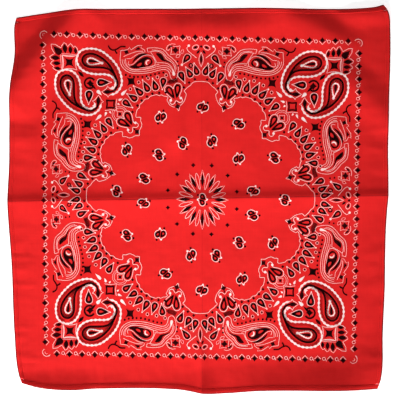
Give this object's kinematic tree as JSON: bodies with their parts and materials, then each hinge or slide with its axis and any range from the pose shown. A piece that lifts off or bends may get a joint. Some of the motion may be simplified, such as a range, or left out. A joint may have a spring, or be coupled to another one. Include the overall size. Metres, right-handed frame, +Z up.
{
  "type": "bandana",
  "caption": "Square printed cotton kerchief lying flat, with narrow rolled hems and soft packing creases across its middle.",
  "frame": {"origin": "under the middle of the cloth, on the surface that it lies on", "axes": "+X to the right edge and +Y to the top edge, seen from above; +Z up, out of the printed side"},
  "size_m": [0.5514, 0.5602, 0.0092],
  "materials": {
    "red_cotton": "matt plain-woven cotton, piece dyed",
    "white_print": "matt screen-print ink sunk in the weave",
    "black_print": "matt screen-print ink sunk in the weave",
    "red_thread": "matt spun sewing thread"
  },
  "bodies": {
    "root": {"panel": "red_cotton", "hem_top": "red_cotton", "hem_bottom": "red_cotton", "hem_left": "red_cotton", "hem_right": "red_cotton"}
  },
  "joints": []
}
